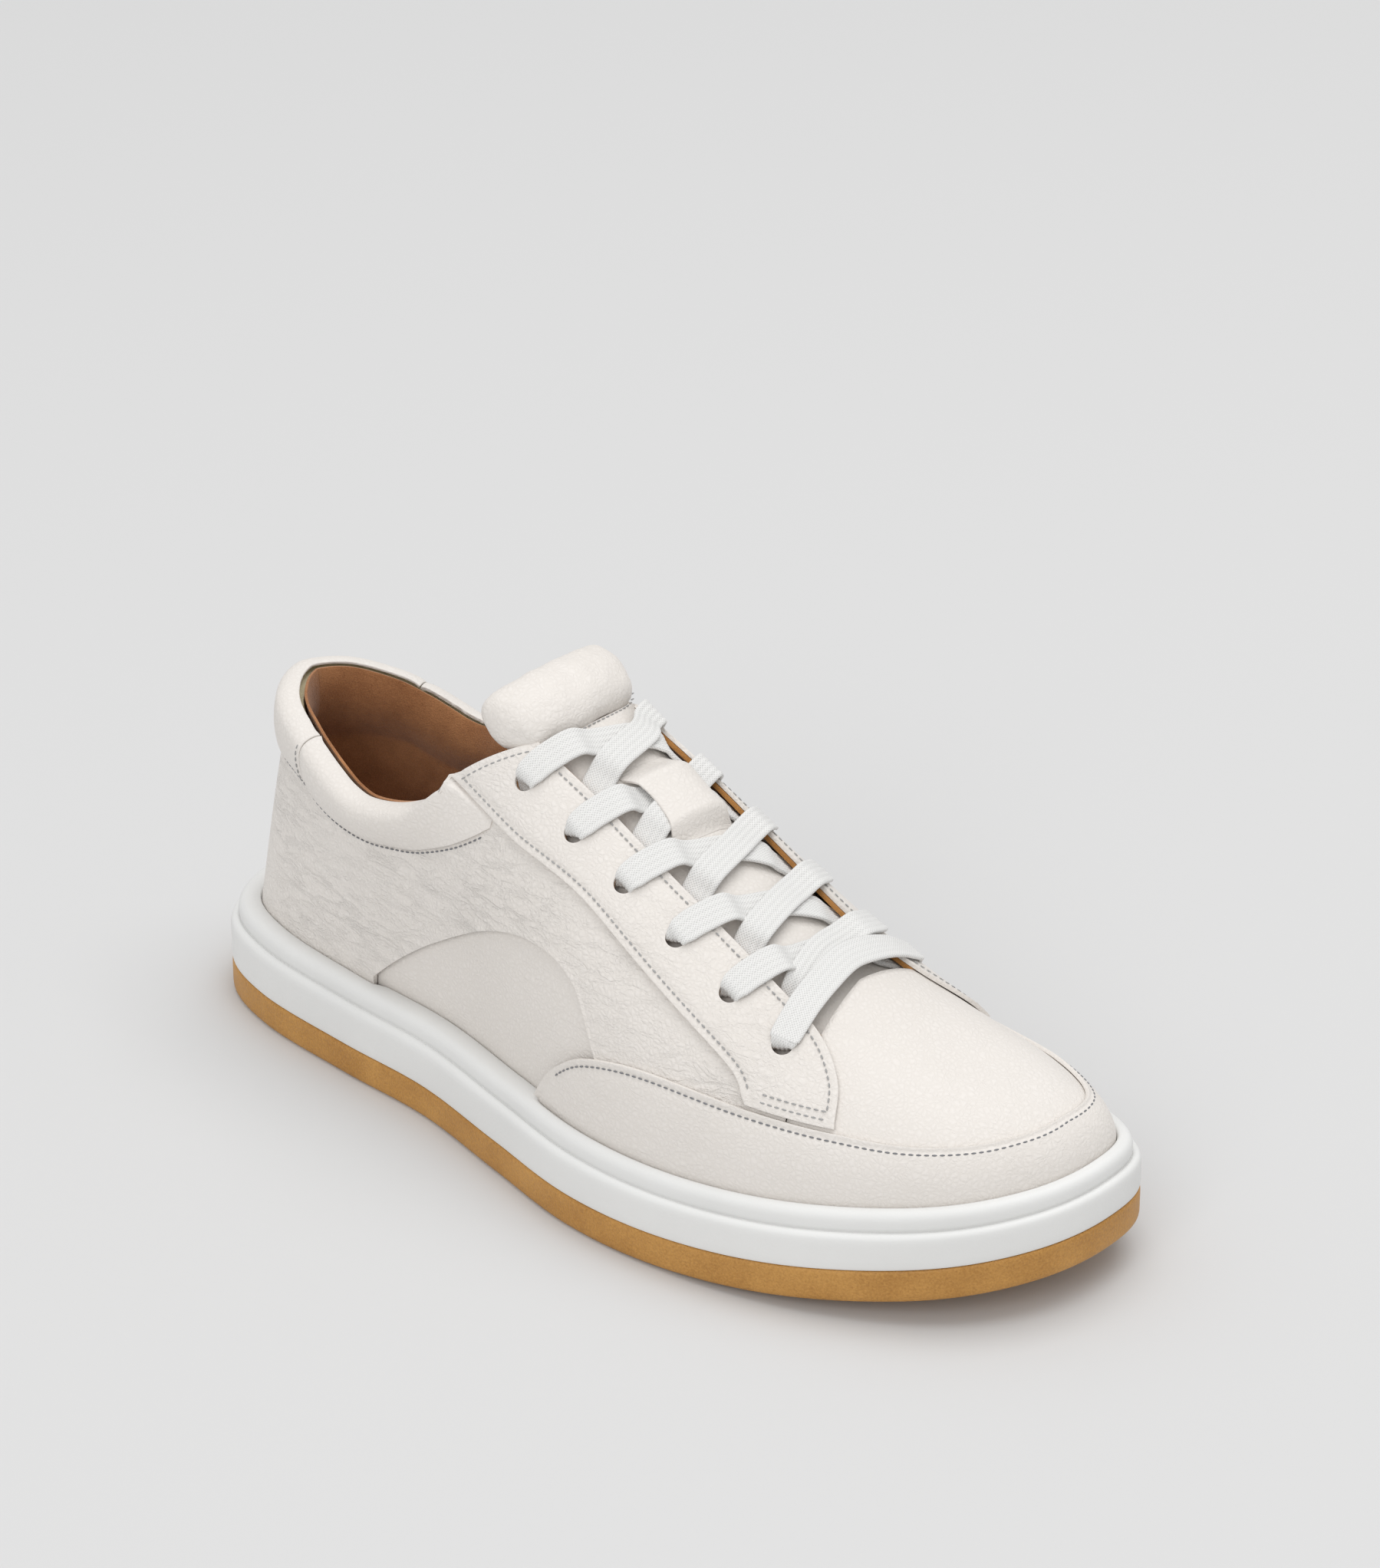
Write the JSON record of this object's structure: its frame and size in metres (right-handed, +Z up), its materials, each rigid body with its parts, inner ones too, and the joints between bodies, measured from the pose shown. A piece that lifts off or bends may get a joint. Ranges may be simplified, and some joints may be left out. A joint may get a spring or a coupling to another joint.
{
  "type": "court shoe",
  "caption": "Low-top leather cupsole shoe, right foot, with a gum tread, padded collar and tongue roll, and a flat lace run through punched eyelets.",
  "frame": {"origin": "under the middle of the sole's length and width, on the ground", "axes": "+X to the toe, +Y to the inner side of the foot, +Z up"},
  "size_m": [0.305, 0.1132, 0.1317],
  "materials": {
    "gum_rubber": "satin gum rubber, finely pebbled",
    "white_rubber": "matte white rubber",
    "foam": "open-cell foam",
    "fibre_board": "stiff woven board",
    "pebbled_leather": "off-white full grain, pebbled, satin",
    "smooth_leather": "off-white smooth grain, satin",
    "brown_suede": "brown suede, matte",
    "tan_suede": "tan suede, matte",
    "lace_webbing": "flat woven cotton, matte",
    "aglet_plastic": "translucent gloss film"
  },
  "bodies": {
    "shoe": {"outsole": "gum_rubber", "midsole_cup": "white_rubber", "midsole_foam": "foam", "footbed": "foam", "collar_foam": "foam", "tongue_foam": "foam", "strobel_board": "fibre_board", "toe_puff": "fibre_board", "heel_counter": "fibre_board", "quarter_lateral": "pebbled_leather", "quarter_medial": "pebbled_leather", "heel_tab": "pebbled_leather", "collar_lateral": "pebbled_leather", "collar_medial": "pebbled_leather", "eyestay_lateral": "pebbled_leather", "eyestay_medial": "pebbled_leather", "tongue_face": "pebbled_leather", "vamp": "smooth_leather", "toe_guard": "smooth_leather", "side_panel_lateral": "smooth_leather", "side_panel_medial": "smooth_leather", "lace_keeper": "smooth_leather", "footbed_cover": "brown_suede", "vamp_lining": "brown_suede", "quarter_lining_lateral": "brown_suede", "quarter_lining_medial": "brown_suede", "tongue_lining": "brown_suede", "eyestay_lining_lateral": "tan_suede", "eyestay_lining_medial": "tan_suede", "lace": "lace_webbing", "aglet_lateral": "aglet_plastic", "aglet_medial": "aglet_plastic"},
    "tongue_roll": {"tongue_roll_cover": "pebbled_leather", "tongue_roll_foam": "foam"}
  },
  "joints": [
    {"name": "tongue_roll_hinge", "type": "hinge", "parent": "shoe", "child": "tongue_roll", "pos_m": [-0.034, 0.008, 0.121], "axis": [0, 1, 0], "range_deg": [-20, 14], "stiffness_Nm_per_rad": 0.02}
  ]
}
